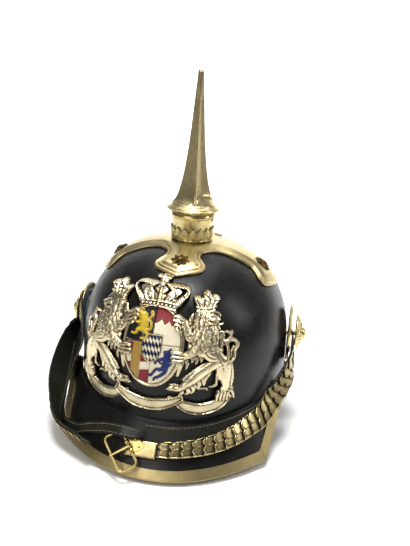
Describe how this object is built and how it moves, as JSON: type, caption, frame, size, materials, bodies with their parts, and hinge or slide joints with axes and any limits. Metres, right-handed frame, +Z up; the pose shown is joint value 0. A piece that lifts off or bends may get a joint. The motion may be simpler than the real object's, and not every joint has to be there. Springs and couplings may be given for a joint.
{
  "type": "spiked parade helmet",
  "caption": "Lacquered leather helmet with a fluted spike on a four-armed base, enamelled front plate, square-cut visor, cockades and a metal-scaled chin strap worn over the visor.",
  "frame": {"origin": "on the spike's axis, in the plane that the two visors rest on", "axes": "+X to the wearer's left, -Y to the front, +Z up along the spike"},
  "size_m": [0.2169, 0.2946, 0.2998],
  "materials": {
    "black_leather": "black lacquered, semi-gloss",
    "strap_leather": "black, waxed",
    "liner_leather": "brown, matt",
    "silver_gilt": "polished pale gilt",
    "plate_metal": "bright silver-gilt",
    "trim_brass": "dull brass",
    "scale_brass": "worn brass",
    "dark_brass": "dark brass",
    "bright_brass": "polished yellow brass",
    "cockade_dark": "lacquered",
    "cockade_pale": "lacquered",
    "enamel_black": "glossy enamel",
    "enamel_red": "glossy enamel",
    "enamel_white": "glossy enamel",
    "enamel_gold": "glossy enamel",
    "enamel_blue": "glossy enamel"
  },
  "bodies": {
    "helmet": {"skull": "black_leather", "front_visor": "black_leather", "rear_visor": "black_leather", "front_visor_trim": "trim_brass", "rear_spine": "silver_gilt", "spine_studs": "silver_gilt", "cross_base": "silver_gilt", "star_studs": "dark_brass", "star_stud_nuts": "dark_brass", "spike_neck": "silver_gilt", "leaf_band": "silver_gilt", "spike_socket": "dark_brass", "cockade_left": "cockade_dark", "cockade_right": "cockade_pale", "cockade_rim_left": "silver_gilt", "cockade_rim_right": "silver_gilt", "boss_left": "silver_gilt", "boss_right": "silver_gilt", "boss_screws": "dark_brass", "boss_nuts": "dark_brass", "helmet_plate": "plate_metal", "shield_rim": "plate_metal", "enamel_black": "enamel_black", "enamel_red": "enamel_red", "enamel_white": "enamel_white", "enamel_gold": "enamel_gold", "enamel_blue": "enamel_blue", "plate_posts": "plate_metal", "plate_nuts": "dark_brass", "sweatband": "liner_leather", "liner_tongues": "liner_leather"},
    "spike": {"spike_flange": "silver_gilt", "spike_point": "silver_gilt", "spike_stud": "dark_brass"},
    "spike_rise": {"seat_ring": "dark_brass"},
    "chin_strap": {"strap_leather_left": "strap_leather", "strap_leather_right": "strap_leather", "scales_left": "scale_brass", "scales_right": "scale_brass", "strap_lug_left": "dark_brass", "strap_lug_right": "dark_brass", "scale_end_plate": "scale_brass", "buckle_frame": "bright_brass", "strap_tongue": "strap_leather", "buckle_tab": "bright_brass"},
    "buckle_prong": {"buckle_prong": "bright_brass"}
  },
  "joints": [
    {"name": "spike_lift", "type": "slide", "parent": "helmet", "child": "spike_rise", "axis": [0, 0, 1], "range_m": [0, 0.006]},
    {"name": "spike_turn", "type": "hinge", "parent": "spike_rise", "child": "spike", "pos_m": [0, 0, 0.182], "axis": [0, 0, 1], "range_deg": [0, 1440]},
    {"name": "chin_strap_swing", "type": "hinge", "parent": "helmet", "child": "chin_strap", "pos_m": [0, 0, 0.081], "axis": [-1, 0, 0], "range_deg": [0, 75]},
    {"name": "buckle_prong_turn", "type": "hinge", "parent": "chin_strap", "child": "buckle_prong", "pos_m": [-0.01761, -0.13143, 0.02486], "axis": [-0.5831, 0.5278, 0.6176], "range_deg": [0, 70]}
  ],
  "couplings": [
    {"joint": "spike_turn", "follows": "spike_lift", "rad_per_m": 4188.8}
  ]
}
